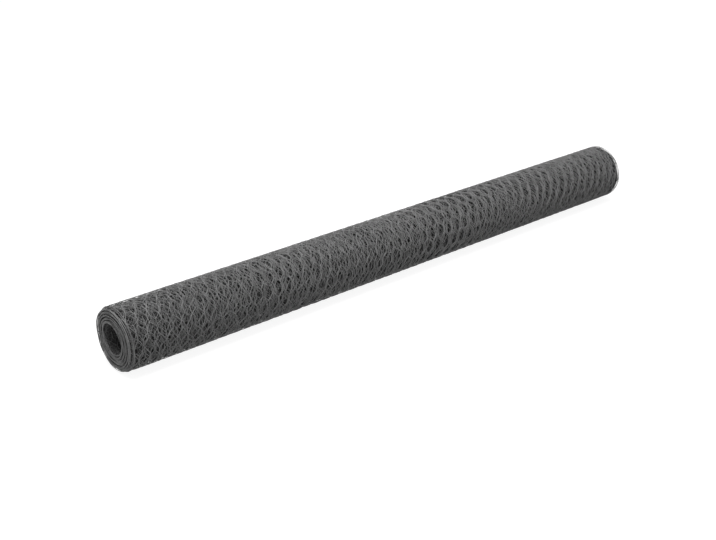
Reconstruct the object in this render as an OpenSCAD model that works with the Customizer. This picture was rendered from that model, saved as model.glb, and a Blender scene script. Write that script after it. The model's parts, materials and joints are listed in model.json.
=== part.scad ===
// Roll of hexagonal wire netting, lying on its side.
// X runs along the roll, Z is up, and the origin is on the floor under the middle of the roll.

/* [Netting] */
// Width of the netting, which is the length of the roll
netting_w = 1500; // [300:10:2000]
// Diameter of the coated selvedge wire along both edges of the netting
selvedge_d = 1; // [0.6:0.05:2]

/* [Winding] */
// Clear bore that is left when the winding mandrel is drawn out
bore_d = 58; // [30:1:120]
// Number of turns wound on top of each other
turns = 33; // [12:1:90]
// Radial room between the selvedges of neighbouring turns
turn_slack = 0.2; // [0.1:0.05:1.5]

/* [Ends] */
// How far the face falls back from the bore to the shoulder
face_setback = 3.5; // [0:0.5:10]
// Radial width of the rounded shoulder made by the outermost turns
shoulder_w = 8; // [3:0.5:13]
// How far the outermost turn sits back from the start of the shoulder at the -X end
near_setback = 12; // [2:0.5:25]
// How far the outermost turn sits back from the start of the shoulder at the +X end
far_setback = 8; // [2:0.5:25]

/* [Hidden] */

// Radial build-up of one turn
turn_pitch = selvedge_d + turn_slack;

bore_r = bore_d / 2;
roll_r = bore_r + turns * turn_pitch;
shoulder_r = roll_r - shoulder_w;
first_r = turn_r(0);
last_r = turn_r(turns - 1);

// Exponent of the shoulder's curve, from 1 for a plain cone
shoulder_curve = 1.5;

// The bead of the turn nearest the bore reaches the full width of the netting.
first_x = netting_w / 2 - selvedge_d / 2;

// Facets of a bead's half round section and of the turned surface
bead_facets = 8;
turned_facets = 120;

netting_colour = [0.33, 0.33, 0.34];

// Radius of the middle of a turn, counted from the bore
function turn_r(i) = bore_r + (i + 0.5) * turn_pitch;

// How far the selvedge at radius r sits back from the end of the roll: a shallow cone, then the shoulder
function setback(r, shoulder_setback) =
    r < shoulder_r
        ? face_setback * (r - first_r) / (shoulder_r - first_r)
        : face_setback + shoulder_setback * pow((r - shoulder_r) / (last_r - shoulder_r), shoulder_curve);

// The selvedge bead of every turn at one end, from the bore outwards (side is 1 at the +X end, else -1)
function beads(side, shoulder_setback) =
    [for (i = [0:turns - 1]) [turn_r(i), side * (first_x - setback(turn_r(i), shoulder_setback))]];

// The half round section of every bead, from its side towards the bore to its outer side
function bead_arcs(beads, side) =
    [for (bead = beads) for (i = [0:bead_facets])
        bead + selvedge_d / 2 * [-cos(180 * i / bead_facets), side * sin(180 * i / bead_facets)]];

function reversed(list) = [for (i = [len(list) - 1:-1:0]) list[i]];

// The turned section, with the radius along its first axis and the roll's length along its second:
// the wound netting, with the selvedge of every turn as a bead on both ends
module roll_section() {
    near = beads(-1, near_setback);
    far = beads(1, far_setback);
    last = turns - 1;
    polygon(concat(
        [[bore_r, near[0].y]],
        bead_arcs(near, -1),
        [[roll_r, near[last].y], [roll_r, far[last].y]],
        reversed(bead_arcs(far, 1)),
        [[bore_r, far[0].y]]
    ));
}

// One continuous length of netting, wound into a roll with an open bore
module wire_roll() {
    color(netting_colour)
        translate([0, 0, roll_r])
            rotate([0, 90, 0])
                rotate_extrude($fn = turned_facets)
                    roll_section();
}

wire_roll();
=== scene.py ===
# Roll of hexagonal wire netting: the turns that show are made of wires, round two rings of packed turns.
import json
import math

import bpy
import numpy as np
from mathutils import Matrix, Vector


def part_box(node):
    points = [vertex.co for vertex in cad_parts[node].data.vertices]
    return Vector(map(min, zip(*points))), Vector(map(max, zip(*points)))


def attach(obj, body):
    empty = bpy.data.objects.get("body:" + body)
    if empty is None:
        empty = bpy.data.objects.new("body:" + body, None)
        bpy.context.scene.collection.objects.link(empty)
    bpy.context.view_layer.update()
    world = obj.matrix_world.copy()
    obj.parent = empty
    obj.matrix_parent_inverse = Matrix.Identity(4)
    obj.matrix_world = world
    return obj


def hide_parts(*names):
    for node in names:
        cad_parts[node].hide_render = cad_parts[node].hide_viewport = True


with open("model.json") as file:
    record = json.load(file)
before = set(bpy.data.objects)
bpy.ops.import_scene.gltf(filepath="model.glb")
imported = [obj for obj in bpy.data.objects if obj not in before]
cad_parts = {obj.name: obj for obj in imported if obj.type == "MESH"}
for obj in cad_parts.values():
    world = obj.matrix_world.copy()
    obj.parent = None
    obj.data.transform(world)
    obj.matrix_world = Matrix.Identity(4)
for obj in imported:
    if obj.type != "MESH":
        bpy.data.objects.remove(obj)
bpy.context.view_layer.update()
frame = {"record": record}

NODE = "wire_roll"
BODY = "root"
SEED = 27
TURN = 2 * math.pi

# Sizes of the roll, read from the frame, in metres
MM = 0.001
bore = frame["record"]["mounts"][0]
axis_z = bore["pos_m"][2]
bore_r = bore["dims"]["r_mm"] * MM
roll_r = axis_z
box_low, box_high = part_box(NODE)

# Netting: mesh wires, twisted in pairs along the roll's circumference
wire_d = 1.08 * MM
under_wire_d = 0.95 * MM
selvedge_d = 1.0 * MM
mesh_wires = 112
repeat_len = 59.0 * MM
twist_len = 15.0 * MM
twist_turns = 1.0
# How much further in a twist lies than the middle of a slanting stretch
twist_sink = 0.4 * MM
# Share that is left of what would lie past the cut ends of the netting
END_SQUEEZE = 0.02

# Winding: angles are from the top of the roll towards +Y
start_angle = math.radians(5)
end_angle = math.radians(140) + 32 * TURN
# Room between the bore or the outside and the middle of the turn beside it
turn_room = 1.2 * MM
# How far the outer turns lie in each other, apart from a strip along both edges
nesting = 0.9
nesting_edge_w = 45.0 * MM

# Ends: how far the edges of the turns sit back, and how far into the roll the mesh follows them
face_setback = 0.8 * MM
shoulder_w = 8.0 * MM
shoulder_curve = 1.5
near_setback = 10.5 * MM
far_setback = 7.0 * MM
edge_pull_w = 160.0 * MM
# Turns under the outermost ones, which sit further back at the far end: depth, width and ease
groove_depth = 6.0 * MM
groove_w = 6.0 * MM
groove_ease = 2 * TURN

# Unevenness of the netting: of each twist, of slanting stretches, and slow drift from turn to turn
jitter_across = 1.5 * MM
jitter_along = 2.3 * MM
jitter_radial = 0.15 * MM
JITTER_LIMIT = 2.0
slant_bow = 0.5 * MM
DRIFT_WAVES = 40
drift_across = 6.0 * MM
drift_along = 6.0 * MM
drift_reach = (200.0 * MM, 110.0 * MM)
firm_columns = 3
# The last turns are wound more evenly than those under them.
outer_turns = 1.0
outer_drift = 0.6
# Places along the roll, as shares of its length, and how loosely it is wound there
SLACK_PLACES = (0.0, 0.25, 0.45, 0.56, 0.7, 1.0)
SLACK = (1.4, 1.6, 1.1, 0.55, 1.25, 1.6)

# Unevenness of the edges: waves round the roll, with bands across the face
edge_wobble = 3.0 * MM
WOBBLE_WAVES = 40
WOBBLE_ROUND = 2
WOBBLE_BANDS = (4.0, 9.0)
SHOULDER_CALM = 0.6

# Innermost turns, which open like a funnel and stick out at one side of the near mouth
lip_depth = 6.5 * MM
lip_middle = math.radians(40)
lip_angle = math.radians(50)
lip_turns = 4
lip_w = 30.0 * MM
# The turns behind them, which are squeezed and sit back there
gap_reach = 10.0 * MM
gap_turns = 4

first_r = bore_r + turn_room
last_r = roll_r - turn_room
shoulder_r = roll_r - shoulder_w
total_angle = end_angle - start_angle
radial_rise = (last_r - first_r) / total_angle
edge_reach = wire_d + selvedge_d / 2
mesh_low = box_low.x + edge_reach
mesh_high = box_high.x - edge_reach
column_step = (mesh_high - mesh_low) / mesh_wires
twist_share = 2 * twist_len / repeat_len

rng = np.random.default_rng(SEED)


def length_at(angle):
    """Length of netting from its start to an angle of winding."""
    return first_r * angle + radial_rise * angle**2 / 2


def angle_at(length):
    """Angle of winding at a length of netting from its start."""
    return (np.sqrt(first_r**2 + 2 * radial_rise * length) - first_r) / radial_rise


total_len = length_at(total_angle)
turn_total = total_angle / TURN
half_repeats = math.ceil(2 * total_len / repeat_len) + 2


def drift():
    """Smooth unevenness over the columns and half repeats of the netting, about 1 in size."""
    across = np.arange(mesh_wires + 1)[:, None] * column_step
    along = np.arange(half_repeats)[None, :] * repeat_len / 2
    field = np.zeros((mesh_wires + 1, half_repeats))
    for _ in range(DRIFT_WAVES):
        slope_across, slope_along = rng.normal(0, 1, 2) / drift_reach
        field += np.sin(slope_across * across + slope_along * along + rng.uniform(0, TURN))
    return field * math.sqrt(2 / DRIFT_WAVES)


# Shift of each twist across the netting, along it and outwards, by column and half repeat
twist_shift = np.clip(rng.normal(0, 1, (mesh_wires + 1, half_repeats, 3)), -JITTER_LIMIT, JITTER_LIMIT)
twist_shift *= (jitter_across, jitter_along, jitter_radial)
half_turns = angle_at(np.arange(half_repeats) * repeat_len / 2) / TURN
loose = np.interp(half_turns, (turn_total - outer_turns - 1, turn_total - outer_turns), (1, outer_drift))
column_number = np.arange(mesh_wires + 1)
loose = loose * np.interp(column_number / mesh_wires, SLACK_PLACES, SLACK)[:, None]
twist_shift[..., 0] += drift_across * loose * drift()
twist_shift[..., 1] += drift_along * loose * drift()
# The selvedges hold the columns beside them in place across the netting.
give = np.minimum(column_number, mesh_wires - column_number) / firm_columns
twist_shift[..., 0] *= np.clip(give, 0, 1)[:, None]
wire_bow = slant_bow * np.clip(rng.normal(0, 1, (mesh_wires, half_repeats)), -JITTER_LIMIT, JITTER_LIMIT)

wobble_round = rng.integers(-WOBBLE_ROUND, WOBBLE_ROUND + 1, (2, WOBBLE_WAVES))
wobble_bands = rng.uniform(*WOBBLE_BANDS, (2, WOBBLE_WAVES))
wobble_phase = rng.uniform(0, TURN, (2, WOBBLE_WAVES))


def wobble(end, angle):
    """How far unevenness takes the edge of the netting inwards at one end."""
    share = angle / total_angle
    total = np.zeros_like(angle)
    for around, bands, phase in zip(wobble_round[end], wobble_bands[end], wobble_phase[end]):
        total += np.sin(around * angle + TURN * bands * share + phase)
    on_shoulder = np.clip((first_r + radial_rise * angle - shoulder_r) / (last_r - shoulder_r), 0, 1)
    inwards = 1 + np.clip(total / math.sqrt(WOBBLE_WAVES), -1, 1)
    return edge_wobble * inwards * (1 - SHOULDER_CALM * on_shoulder)


def setback(radius, shoulder_setback):
    """How far the edge of the netting sits back from the end of the roll at a radius."""
    on_face = np.clip((radius - first_r) / (shoulder_r - first_r), 0, 1)
    on_shoulder = np.clip((radius - shoulder_r) / (last_r - shoulder_r), 0, 1)
    return face_setback * on_face + shoulder_setback * on_shoulder**shoulder_curve


def groove(radius):
    """How much further back the turns under the outermost ones sit at the far end."""
    return groove_depth * np.clip(1 + (radius - shoulder_r) / groove_w, 0, 1)


def at_lip(angle, from_turn, to_turn):
    """How near a place in the winding is to the loose side of some of its turns, from 0 to 1."""
    passed = (start_angle + angle - lip_middle) / TURN + 0.5
    beside = TURN * (passed % 1 - 0.5)
    return np.exp(-((beside / lip_angle) ** 2)) * (passed >= from_turn) * (passed < to_turn)


def funnel(x, angle):
    """How far the innermost turns open outwards at the near mouth."""
    squeezed = np.clip((lip_turns + gap_turns - angle / TURN) / gap_turns, 0, 1)
    from_mouth = (x - mesh_low) / lip_w
    return lip_depth * squeezed * at_lip(angle, 0, lip_turns + gap_turns) * np.exp(-(from_mouth**2))


def edge_shares(x, reach):
    """How much a place across the netting follows its near edge and its far edge, from 0 to 1."""
    near = np.clip(1 - (x - mesh_low) / reach, 0, 1) ** 2
    far = np.clip(1 - (mesh_high - x) / reach, 0, 1) ** 2
    return near, far


def nested(radius, x):
    """Radius of a turn at a place across the netting, as the outer turns lie in each other."""
    near, far = edge_shares(x, nesting_edge_w)
    outer = (radius - first_r) / (last_r - first_r)
    return radius + nesting * (1 - near - far) * (last_r - radius) * outer**2


def pull_in(x, angle):
    """Places along the roll of places across the netting, whose edges sit back."""
    radius = first_r + radial_rise * angle
    near, far = edge_shares(x, edge_pull_w)
    near_shift = setback(radius, near_setback) + wobble(0, angle)
    near_shift *= 1 - at_lip(angle, 0, lip_turns)
    near_shift += gap_reach * at_lip(angle, lip_turns, lip_turns + gap_turns)
    covered = np.clip((total_angle - TURN - angle) / groove_ease, 0, 1)
    far_shift = setback(radius, far_setback) + wobble(1, angle) + covered * groove(radius)
    return x + near * near_shift - far * far_shift


def placed(x, angle, rise):
    """Points from places across the netting, angles of winding and rises above the turn."""
    turned = start_angle + angle
    radius = nested(first_r + radial_rise * angle, x) + funnel(x, angle) + rise
    return np.stack([pull_in(x, angle), radius * np.sin(turned), axis_z + radius * np.cos(turned)], -1)


def netting_points(phases, first, last):
    """Rings of every mesh wire, from one half repeat of the netting to another, as (wire, ring, xyz)."""
    halves = np.arange(first, last)
    phase = np.append(np.tile(phases, len(halves)), 1.0)
    half = np.append(np.repeat(halves, len(phases)), last - 1)[None, :]
    wire = np.arange(mesh_wires)[:, None]
    # A wire is twisted at its right column in one half repeat and at its left column in the next.
    right = (wire + half) % 2 == 0
    column = np.where(right, wire + 1, wire)
    next_column = np.where(right, wire, wire + 1)
    side = np.where(right, -1.0, 1.0)
    shift = twist_shift[column, half]
    next_shift = twist_shift[next_column, half + 1]
    in_twist = np.clip(phase / twist_share, 0, 1)
    between = np.clip((phase - twist_share) / (1 - twist_share), 0, 1)
    at_edge = (column == 0) | (column == mesh_wires)
    next_at_edge = (next_column == 0) | (next_column == mesh_wires)
    lay = np.where(at_edge, (wire_d + selvedge_d) / 2, wire_d / 2)
    next_lay = np.where(next_at_edge, (wire_d + selvedge_d) / 2, wire_d / 2)
    turn = TURN * twist_turns * in_twist
    across = column * column_step + shift[..., 0] + side * lay * np.cos(turn)
    next_across = next_column * column_step + next_shift[..., 0] - side * next_lay
    bow = wire_bow[wire, half] * np.sin(math.pi * between)
    x = mesh_low + across + (next_across - across) * between + bow
    rise = shift[..., 2] + side * lay * np.sin(turn) * (between == 0)
    rise = rise + (next_shift[..., 2] - rise) * between
    # A slanting stretch stands out a little between two twists.
    rise -= twist_sink * (1 - np.sin(math.pi * between))
    slide = shift[..., 1] + (next_shift[..., 1] - shift[..., 1]) * between
    # What would lie past the cut ends of the netting is squeezed together there.
    length = (half + phase) * repeat_len / 2 + slide
    length = np.clip(length, END_SQUEEZE * length, total_len + END_SQUEEZE * (length - total_len))
    return placed(x, angle_at(length), rise)


def new_mesh(name, vertices, corners, sizes, uv):
    """Smooth mesh from arrays of points, face corners, corners in each face and places on its map."""
    mesh = bpy.data.meshes.new(name)
    mesh.vertices.add(len(vertices))
    mesh.vertices.foreach_set("co", vertices.ravel())
    mesh.loops.add(len(corners))
    mesh.loops.foreach_set("vertex_index", corners)
    mesh.polygons.add(len(sizes))
    mesh.polygons.foreach_set("loop_start", np.concatenate([[0], np.cumsum(sizes)[:-1]]))
    mesh.polygons.foreach_set("use_smooth", np.ones(len(sizes), bool))
    mesh.uv_layers.new(name="OFBake").uv.foreach_set("vector", uv.ravel())
    mesh.update(calc_edges=True)
    mesh.validate()
    return mesh


def tube_mesh(name, paths, diameter, sides):
    """One mesh of closed tubes, one along each path of (path, ring, xyz) round the roll's axis."""
    count, rings = paths.shape[:2]
    along = np.gradient(paths, axis=1)
    along /= np.linalg.norm(along, axis=-1, keepdims=True)
    out = paths - (0, 0, axis_z)
    out[..., 0] = 0
    out -= (out * along).sum(-1, keepdims=True) * along
    out /= np.linalg.norm(out, axis=-1, keepdims=True)
    across = np.cross(along, out)
    # A tube of few sides has the same mean width as the round wire.
    reach = diameter / 2 * math.pi / (sides * math.sin(math.pi / sides))
    turn = TURN * np.arange(sides) / sides
    ring = np.cos(turn)[:, None] * out[:, :, None, :] + np.sin(turn)[:, None] * across[:, :, None, :]
    vertices = (paths[:, :, None, :] + reach * ring).reshape(-1, 3)
    index = np.arange(count * rings * sides).reshape(count, rings, sides)
    following = np.roll(index, -1, axis=2)
    quads = np.stack([index[:, :-1], index[:, 1:], following[:, 1:], following[:, :-1]], -1)
    quads = quads.reshape(-1, 4)
    caps = np.concatenate([index[:, 0], index[:, -1, ::-1]])
    corners = np.concatenate([quads.ravel(), caps.ravel()])
    sizes = np.concatenate([np.full(len(quads), 4), np.full(len(caps), sides)])
    return new_mesh(name, vertices, corners, sizes, strips(count, rings, sides, len(caps)))


def strips(count, rings, sides, caps):
    """Places on a map with one strip for each tube, so that no two faces share a place on it."""
    strip, ring, side = np.indices((count, rings - 1, sides))
    u = np.stack([ring, ring + 1, ring + 1, ring], -1) / (rings - 1)
    v = (strip[..., None] + np.stack([side, side, side + 1, side + 1], -1) / sides) / count
    quads = np.stack([u, v], -1).reshape(-1, 2)
    return np.concatenate([quads, np.zeros((caps * sides, 2))])


# Packed turns in the middle of the winding: closed rings with the netting's relief.
# Depths are behind the selvedges, and a flare takes the outside of a ring out towards its ends.
PACKED_DEPTH = 4.5 * MM
BORE_DEPTH = 4.0 * MM
PACKED_FLARE = 6.7 * MM
PACKED_FLARE_REACH = 12.0 * MM
PACKED_CAP = 10
PACKED_RELIEF = 0.7 * MM
PACKED_JITTER = 0.35 * MM
PACKED_STEPS = 48
# Least room between a ring and the outside of the roll
PACKED_ROOM = 2.2 * MM


def turn_radius(turn):
    """Radius of the middle of the netting at a number of turns from its start."""
    return first_r + radial_rise * turn * TURN


def packed_ends(radius, depth):
    """Places along the roll of the two ends of a packed ring, at a depth behind the selvedges."""
    near = mesh_low + setback(radius, near_setback) + depth
    far = mesh_high - setback(radius, far_setback) - groove(radius) - depth
    return near, far


def packed_mesh(name, from_turn, to_turn, depth, flare):
    """Closed ring between two turns, with bumps where the twists of the netting lie."""
    columns = 2 * mesh_wires + 1
    inner_x = np.linspace(*packed_ends(turn_radius(from_turn), depth), columns)
    inner_r = nested(turn_radius(from_turn), inner_x)
    outer_x = np.linspace(*packed_ends(turn_radius(to_turn) + flare, depth), columns)
    from_end = np.minimum(outer_x - outer_x[0], outer_x[-1] - outer_x)
    flared = flare * np.exp(-((from_end / PACKED_FLARE_REACH) ** 2))
    outer_r = np.minimum(nested(turn_radius(to_turn), outer_x) + flared, roll_r - PACKED_ROOM)
    cap_r = np.linspace(inner_r[0], outer_r[0], PACKED_CAP + 2)[1:-1]
    near_x, far_x = packed_ends(cap_r, depth)
    # Columns go along the outside, over the far end, back along the inside and over the near end.
    loop_x = np.concatenate([outer_x, far_x[::-1], inner_x[::-1], near_x])[:, None]
    loop_r = np.concatenate([outer_r, cap_r[::-1], inner_r[::-1], cap_r])[:, None]
    parts = (columns, PACKED_CAP, columns, PACKED_CAP)
    outwards = np.repeat([1, 0, -1, 0], parts)[:, None]
    outer_repeats = round(TURN * turn_radius(to_turn) / repeat_len)
    inner_repeats = round(TURN * turn_radius(from_turn) / repeat_len)
    repeats = np.repeat([outer_repeats, 0, inner_repeats, 0], parts)[:, None]
    angle = np.arange(PACKED_STEPS) * TURN / PACKED_STEPS
    columns_passed = (loop_x - mesh_low) / column_step
    relief = PACKED_RELIEF * np.cos(math.pi * columns_passed) * np.cos(repeats * angle)
    relief = relief + PACKED_JITTER * rng.normal(0, 1, relief.shape)
    radius = loop_r + outwards * relief
    x = np.broadcast_to(loop_x, radius.shape)
    points = np.stack([x, radius * np.sin(angle), axis_z + radius * np.cos(angle)], -1)
    index = np.arange(radius.size).reshape(radius.shape)
    beside = np.roll(index, -1, axis=0)
    quads = np.stack([index, beside, np.roll(beside, -1, axis=1), np.roll(index, -1, axis=1)], -1)
    column, step = np.indices(radius.shape)
    u = np.stack([column, column + 1, column + 1, column], -1) / len(radius)
    v = np.stack([step, step, step + 1, step + 1], -1) / PACKED_STEPS
    uv = np.stack([u, v], -1)
    return new_mesh(name, points.reshape(-1, 3), quads.ravel(), np.full(index.size, 4), uv)


# Coating: tones of the wire, and the scales of their changes per metre
TONE_SCALE = 60.0
TONE_DETAIL = 4.0
TONE_RANGE = (0.3, 0.7)
SHINE_SCALE = 220.0
ROUGHNESS = (0.45, 0.7)
OUTER_TONES = (0.165, 0.255)
OUTER_SPECULAR = 0.4
# Same wire as the outer turns, painted lighter: painted light that makes up for the shade the under
# turns lie in
UNDER_LIGHTENED_TONES = (0.19, 0.29)
UNDER_SPECULAR = 0.3
# Packed turns: unrolled length of a ring in lengths of the roll, and openings and wires of the tangle,
# whose dark tones are painted shade
RING_WAYS = 2.09
TANGLE_LEN = RING_WAYS * (box_high.x - box_low.x)
TANGLE_OPENINGS = (11.0 * MM, 8.5 * MM)
TANGLE_EDGE = (0.3, 0.6)
PACKED_SPECULAR = 0.05
# Painted shade inside the bore: dark tones for the packed turns round it, less dark than the deeper
# packed ring
BORE_SHADE_TONES = (0.07, 0.17)
# Painted shade: nearly black between the wires of the turns that lie deep under the outer ones
PACKED_SHADE_TONES = (0.01, 0.15)
# Turns whose girth the tangles of the two rings have
BORE_GIRTH_TURN = 1
PACKED_GIRTH_TURN = 28


def coated_material(name, tones, specular):
    """Matt grey plastic coating, with slow changes of tone along the roll and finer ones on the wire."""
    material = bpy.data.materials.new(name)
    material.use_nodes = True
    nodes = material.node_tree.nodes
    links = material.node_tree.links
    shader = nodes["Principled BSDF"]
    place = nodes.new("ShaderNodeTexCoord")
    slow = nodes.new("ShaderNodeTexNoise")
    slow.inputs["Scale"].default_value = TONE_SCALE
    slow.inputs["Detail"].default_value = TONE_DETAIL
    tone = nodes.new("ShaderNodeValToRGB")
    for element, position, level in zip(tone.color_ramp.elements, TONE_RANGE, tones):
        element.position = position
        element.color = (level, level, level, 1)
    fine = nodes.new("ShaderNodeTexNoise")
    fine.inputs["Scale"].default_value = SHINE_SCALE
    shine = nodes.new("ShaderNodeMapRange")
    shine.inputs["To Min"].default_value = ROUGHNESS[0]
    shine.inputs["To Max"].default_value = ROUGHNESS[1]
    links.new(place.outputs["Object"], slow.inputs["Vector"])
    links.new(place.outputs["Object"], fine.inputs["Vector"])
    links.new(slow.outputs["Fac"], tone.inputs["Fac"])
    links.new(tone.outputs["Color"], shader.inputs["Base Color"])
    links.new(fine.outputs["Fac"], shine.inputs["Value"])
    links.new(shine.outputs["Result"], shader.inputs["Roughness"])
    shader.inputs["Specular IOR Level"].default_value = specular
    return material


def packed_painted_shade_material(name, tones, girth):
    """Many turns seen as one surface: a fine tangle of wires, with painted shade between them."""
    material = bpy.data.materials.new(name)
    material.use_nodes = True
    nodes = material.node_tree.nodes
    links = material.node_tree.links
    shader = nodes["Principled BSDF"]
    place = nodes.new("ShaderNodeTexCoord")
    unrolled = nodes.new("ShaderNodeMapping")
    unrolled.inputs["Scale"].default_value = (TANGLE_LEN, girth, 1)
    links.new(place.outputs["UV"], unrolled.inputs["Vector"])
    nearest = None
    for opening in TANGLE_OPENINGS:
        cells = nodes.new("ShaderNodeTexVoronoi")
        cells.voronoi_dimensions = "2D"
        cells.feature = "DISTANCE_TO_EDGE"
        cells.inputs["Scale"].default_value = 1 / opening
        reach = nodes.new("ShaderNodeMath")
        reach.operation = "MULTIPLY"
        reach.inputs[1].default_value = opening
        links.new(unrolled.outputs["Vector"], cells.inputs["Vector"])
        links.new(cells.outputs["Distance"], reach.inputs[0])
        if nearest is None:
            nearest = reach.outputs[0]
        else:
            smaller = nodes.new("ShaderNodeMath")
            smaller.operation = "MINIMUM"
            links.new(nearest, smaller.inputs[0])
            links.new(reach.outputs[0], smaller.inputs[1])
            nearest = smaller.outputs[0]
    wire = nodes.new("ShaderNodeMapRange")
    wire.inputs["From Min"].default_value = TANGLE_EDGE[0] * wire_d
    wire.inputs["From Max"].default_value = TANGLE_EDGE[1] * wire_d
    # Light tone on the tangle's wires and dark tone between them: the dark is painted shade of the deep
    # turns.
    tone = nodes.new("ShaderNodeValToRGB")
    for element, level in zip(tone.color_ramp.elements, reversed(tones)):
        element.color = (level, level, level, 1)
    # The wires of the tangle stand out from the painted shade between them.
    relief = nodes.new("ShaderNodeBump")
    relief.invert = True
    relief.inputs["Distance"].default_value = wire_d
    links.new(wire.outputs["Result"], relief.inputs["Height"])
    links.new(relief.outputs["Normal"], shader.inputs["Normal"])
    links.new(nearest, wire.inputs["Value"])
    links.new(wire.outputs["Result"], tone.inputs["Fac"])
    links.new(tone.outputs["Color"], shader.inputs["Base Color"])
    shader.inputs["Roughness"].default_value = ROUGHNESS[1]
    shader.inputs["Specular IOR Level"].default_value = PACKED_SPECULAR
    return material


outer_coating = coated_material("grey_coated_wire", OUTER_TONES, OUTER_SPECULAR)
# The under turns' coating is painted lighter than the outer turns' as painted light against their shade.
under_coating_lightened = coated_material("grey_wire_under_lightened", UNDER_LIGHTENED_TONES, UNDER_SPECULAR)
# The packed rings' dark tones are painted shade of the deep turns, lighter in the bore than deeper in
# the winding.
bore_shade_coating = packed_painted_shade_material("packed_bore_painted_shade", BORE_SHADE_TONES, TURN * turn_radius(BORE_GIRTH_TURN))
packed_shade_coating = packed_painted_shade_material("packed_netting_painted_shade", PACKED_SHADE_TONES, TURN * turn_radius(PACKED_GIRTH_TURN))


def add_piece(name, mesh, material):
    """Puts a mesh in the scene as a piece of the roll."""
    piece = bpy.data.objects.new(name, mesh)
    bpy.context.scene.collection.objects.link(piece)
    mesh.materials.append(material)
    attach(piece, BODY)
    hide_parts(NODE)


# Phases of a half repeat at which a wire has a ring: the twist first, then the slanting stretch
FINE_TWIST_RINGS = 7
FINE_SLANT = np.array([0.2, 0.4, 0.6, 0.8])
COARSE_SLANT = np.array([0, 0.25, 0.5, 0.75])
slant_share = 1 - twist_share
fine_twist = np.linspace(0, twist_share, FINE_TWIST_RINGS)
FINE_PHASES = np.append(fine_twist, twist_share + slant_share * FINE_SLANT)
COARSE_PHASES = np.append(0, twist_share + slant_share * COARSE_SLANT)
FINE_SIDES = 5
COARSE_SIDES = 3


def half_at_turn(turn):
    """The half repeat of the netting that is nearest to a turn of the winding."""
    return round(2 * length_at(turn * TURN) / repeat_len)


# Turns drawn as wires: from one turn to another, rings of a half repeat, wire, tube sides and coating
LAYERS = [
    ("netting_bore", 0, 4, COARSE_PHASES, under_wire_d, COARSE_SIDES, under_coating_lightened),
    ("netting_middle", 23.5, 27.5, COARSE_PHASES, under_wire_d, COARSE_SIDES, under_coating_lightened),
    ("netting_under", 27.5, turn_total - 2, COARSE_PHASES, under_wire_d, COARSE_SIDES, under_coating_lightened),
    ("netting_second", turn_total - 2, turn_total - 1, FINE_PHASES, wire_d, FINE_SIDES, outer_coating),
    ("netting_outer", turn_total - 1, turn_total, FINE_PHASES, wire_d, FINE_SIDES, outer_coating),
]
for name, from_turn, to_turn, phases, diameter, sides, coating in LAYERS:
    points = netting_points(phases, half_at_turn(from_turn), half_at_turn(to_turn))
    add_piece(name, tube_mesh(name, points, diameter, sides), coating)
# Turns drawn as packed rings: from one turn to another, depth, flare and coating, whose dark tones are
# painted shade
PACKED = [
    ("netting_packed_bore", 1.6, 9, BORE_DEPTH, 0, bore_shade_coating),
    ("netting_packed", 10, 24, PACKED_DEPTH, PACKED_FLARE, packed_shade_coating),
]
for name, from_turn, to_turn, depth, flare, coating in PACKED:
    add_piece(name, packed_mesh(name, from_turn, to_turn, depth, flare), coating)

# Selvedge wires, wound with the netting along both of its edges
SELVEDGE_STEP = 5.0 * MM
SELVEDGE_SIDES = 6
selvedge_len = np.linspace(0, total_len, round(total_len / SELVEDGE_STEP))
for name, place in (("selvedge_near", mesh_low), ("selvedge_far", mesh_high)):
    path = placed(np.full_like(selvedge_len, place), angle_at(selvedge_len), np.zeros_like(selvedge_len))
    add_piece(name, tube_mesh(name, path[None], selvedge_d, SELVEDGE_SIDES), outer_coating)

# Camera, at the photograph's angle
CAMERA_PLACE = (-1.750, -1.857, 1.1387)
CAMERA_DOWN = math.radians(24.114)
CAMERA_TURN = math.radians(-41.337)
FOCAL_PIXELS = 1200.0
IMAGE_WIDTH = 716.0
SENSOR = 36.0
camera = bpy.data.cameras.new("camera")
camera.sensor_width = SENSOR
camera.lens = SENSOR * FOCAL_PIXELS / IMAGE_WIDTH
camera_object = bpy.data.objects.new("camera", camera)
camera_object.location = CAMERA_PLACE
camera_object.rotation_euler = (math.pi / 2 - CAMERA_DOWN, 0, CAMERA_TURN)
bpy.context.scene.collection.objects.link(camera_object)
bpy.context.scene.camera = camera_object

# Floor: its grey for the light that it sends back to the roll, its white and its own glow for the camera
FLOOR_HALF = 30.0
FLOOR_BOUNCE = 0.5
FLOOR_SEEN = 0.25
FLOOR_GLOW = 0.9


def seen_directly(nodes, links):
    """Socket that is 1 for rays from the camera and in shiny or clear surfaces, and 0 for others."""
    path = nodes.new("ShaderNodeLightPath")
    total = path.outputs["Is Camera Ray"]
    for ray in ("Is Glossy Ray", "Is Transmission Ray"):
        larger = nodes.new("ShaderNodeMath")
        larger.operation = "MAXIMUM"
        links.new(total, larger.inputs[0])
        links.new(path.outputs[ray], larger.inputs[1])
        total = larger.outputs[0]
    return total


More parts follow.
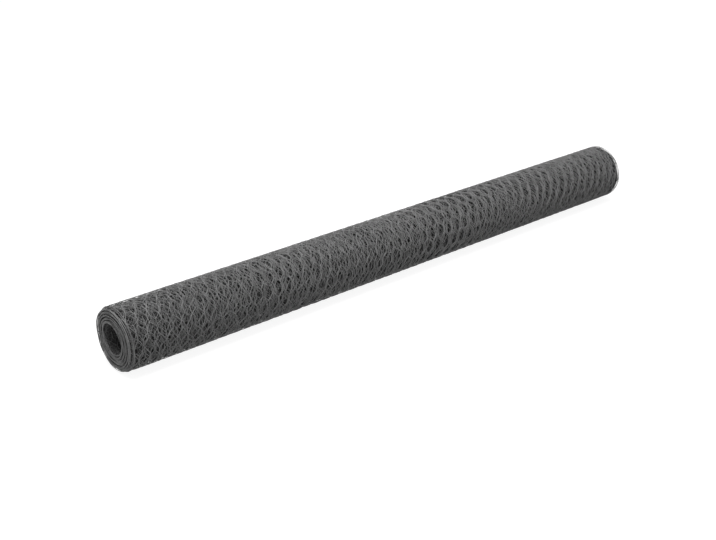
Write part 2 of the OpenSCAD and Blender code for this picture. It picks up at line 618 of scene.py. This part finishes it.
def floor_material():
    """Pale floor that takes the roll's shadow and shows as white."""
    material = bpy.data.materials.new("pale_floor")
    material.use_nodes = True
    nodes = material.node_tree.nodes
    links = material.node_tree.links
    nodes.remove(nodes["Principled BSDF"])
    seen = seen_directly(nodes, links)
    matt = nodes.new("ShaderNodeBsdfDiffuse")
    tint = nodes.new("ShaderNodeMapRange")
    tint.inputs["To Min"].default_value = FLOOR_BOUNCE
    tint.inputs["To Max"].default_value = FLOOR_SEEN
    glow = nodes.new("ShaderNodeEmission")
    strength = nodes.new("ShaderNodeMath")
    strength.operation = "MULTIPLY"
    strength.inputs[1].default_value = FLOOR_GLOW
    both = nodes.new("ShaderNodeAddShader")
    links.new(seen, tint.inputs["Value"])
    links.new(tint.outputs["Result"], matt.inputs["Color"])
    links.new(seen, strength.inputs[0])
    links.new(strength.outputs[0], glow.inputs["Strength"])
    links.new(matt.outputs[0], both.inputs[0])
    links.new(glow.outputs[0], both.inputs[1])
    links.new(both.outputs[0], nodes["Material Output"].inputs["Surface"])
    return material


floor_mesh = bpy.data.meshes.new("floor")
corners = [(-FLOOR_HALF, -FLOOR_HALF, 0), (FLOOR_HALF, -FLOOR_HALF, 0)]
corners += [(FLOOR_HALF, FLOOR_HALF, 0), (-FLOOR_HALF, FLOOR_HALF, 0)]
floor_mesh.from_pydata(corners, [], [(0, 1, 2, 3)])
floor_mesh.materials.append(floor_material())
floor = bpy.data.objects.new("floor", floor_mesh)
bpy.context.scene.collection.objects.link(floor)


# Lamp: one soft box above the roll, longer than the roll is
LAMP_PLACE = (-0.35, -0.3, 2.6)
LAMP_SIZE = (2.6, 1.4)
LAMP_POWER = 73.0
lamp = bpy.data.lights.new("top_box", "AREA")
lamp.shape = "RECTANGLE"
lamp.size, lamp.size_y = LAMP_SIZE
lamp.energy = LAMP_POWER
lamp_object = bpy.data.objects.new("top_box", lamp)
lamp_object.location = LAMP_PLACE
lamp_object.rotation_euler = (math.atan2(-LAMP_PLACE[1], LAMP_PLACE[2]), 0, 0)
bpy.context.scene.collection.objects.link(lamp_object)

# World: a pale room to the object, white where it is seen
SKY_LIGHT = 0.405
SKY_SEEN = 1.0
world = bpy.data.worlds.new("studio")
bpy.context.scene.world = world
world.use_nodes = True
world_nodes = world.node_tree.nodes
world_links = world.node_tree.links
sky = world_nodes["Background"]
level = world_nodes.new("ShaderNodeMapRange")
level.inputs["To Min"].default_value = SKY_LIGHT
level.inputs["To Max"].default_value = SKY_SEEN
world_links.new(seen_directly(world_nodes, world_links), level.inputs["Value"])
world_links.new(level.outputs["Result"], sky.inputs["Strength"])
sky.inputs["Color"].default_value = (1, 1, 1, 1)

bpy.context.scene.view_settings.view_transform = "Standard"
